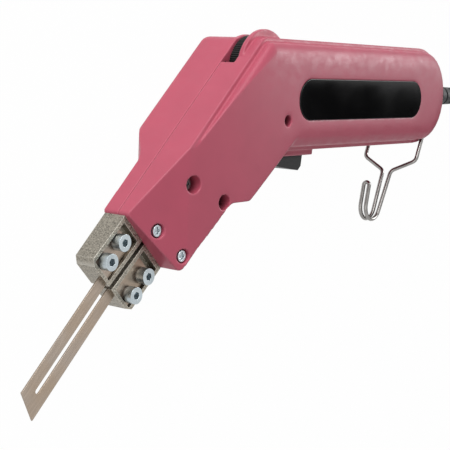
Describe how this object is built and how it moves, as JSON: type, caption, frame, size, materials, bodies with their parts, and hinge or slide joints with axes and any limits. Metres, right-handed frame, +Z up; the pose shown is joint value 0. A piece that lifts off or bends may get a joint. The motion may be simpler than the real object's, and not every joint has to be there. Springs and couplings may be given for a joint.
{
  "type": "electric hot knife",
  "caption": "Pistol-shaped electric hot knife: clamshell grip with bent nose, slotted blade in clamped electrode blocks, trigger, thumb dial, wire hanging hook and mains cord.",
  "frame": {"origin": "on the flat of the far cheek, the face the tool lies on, under the bend of the grip", "axes": "+X along the grip toward the cord, +Y toward the back (dial side) of the tool, +Z up through the label side"},
  "size_m": [0.5573, 0.1517, 0.0412],
  "materials": {
    "housing": "satin",
    "label": "gloss",
    "black_plastic": "satin",
    "steel": "dark spring steel",
    "zinc": "zinc plated",
    "electrode": "nickel plated casting",
    "blade": "heat tinted",
    "hook": "nickel",
    "copper": "bare",
    "lamination": "lacquered",
    "insulator": "phenolic",
    "white_plastic": "satin",
    "board": "resist",
    "component": "moulded",
    "aluminium": "extruded",
    "rubber": "matt",
    "lead": "insulation"
  },
  "bodies": {
    "tool": {"shell_near": "housing", "shell_far": "housing", "label_plate": "label", "dial_pot": "component", "control_board": "board", "filter_capacitor": "component", "triac_heatsink": "aluminium", "choke_coil": "copper", "trigger_pin": "steel", "trigger_spring": "steel", "switch_body": "black_plastic", "transformer_core": "lamination", "coil_bobbin": "white_plastic", "primary_coil": "copper", "strap_upper": "copper", "strap_lower": "copper", "electrode_holder": "insulator", "block_upper": "electrode", "block_lower": "electrode", "plate_upper": "blade", "plate_lower": "blade", "clamp_screws": "zinc", "spring_washers": "steel", "blade": "blade", "nose_screws": "zinc", "body_screws": "steel", "strain_relief": "rubber", "cord_clamp": "black_plastic", "cord_clamp_screws": "steel", "terminal_block": "white_plastic", "mains_leads": "lead", "board_leads": "lead", "cord_inner": "rubber", "cord_stretch": "rubber", "cord_coil": "rubber", "cord_tie": "rubber", "plug_body": "rubber", "plug_pins": "zinc"},
    "trigger": {"trigger_lever": "black_plastic"},
    "plunger": {"switch_plunger": "component"},
    "dial": {"dial_wheel": "black_plastic", "dial_shaft": "steel"},
    "hook": {"hook_wire": "hook"}
  },
  "joints": [
    {"name": "trigger_press", "type": "hinge", "parent": "tool", "child": "trigger", "pos_m": [0.01687, -0.0132, 0.0205], "axis": [0, 0, 1], "range_deg": [0, 5.7], "stiffness_Nm_per_rad": 0.6, "springref_deg": -2.86, "deforming": ["trigger_spring"]},
    {"name": "plunger_slide", "type": "slide", "parent": "tool", "child": "plunger", "axis": [0, 1, 0], "range_m": [0, 0.002]},
    {"name": "dial_turn", "type": "hinge", "parent": "tool", "child": "dial", "pos_m": [0.0038, 0.0198, 0.0205], "axis": [0, 0, 1], "range_deg": [0, 280]},
    {"name": "hook_swing", "type": "hinge", "parent": "tool", "child": "hook", "pos_m": [0.147, -0.005, 0.0205], "axis": [0, 0, 1], "range_deg": [-24, 110]}
  ],
  "couplings": [
    {"joint": "plunger_slide", "follows": "trigger_press", "m_per_rad": 0.02}
  ]
}
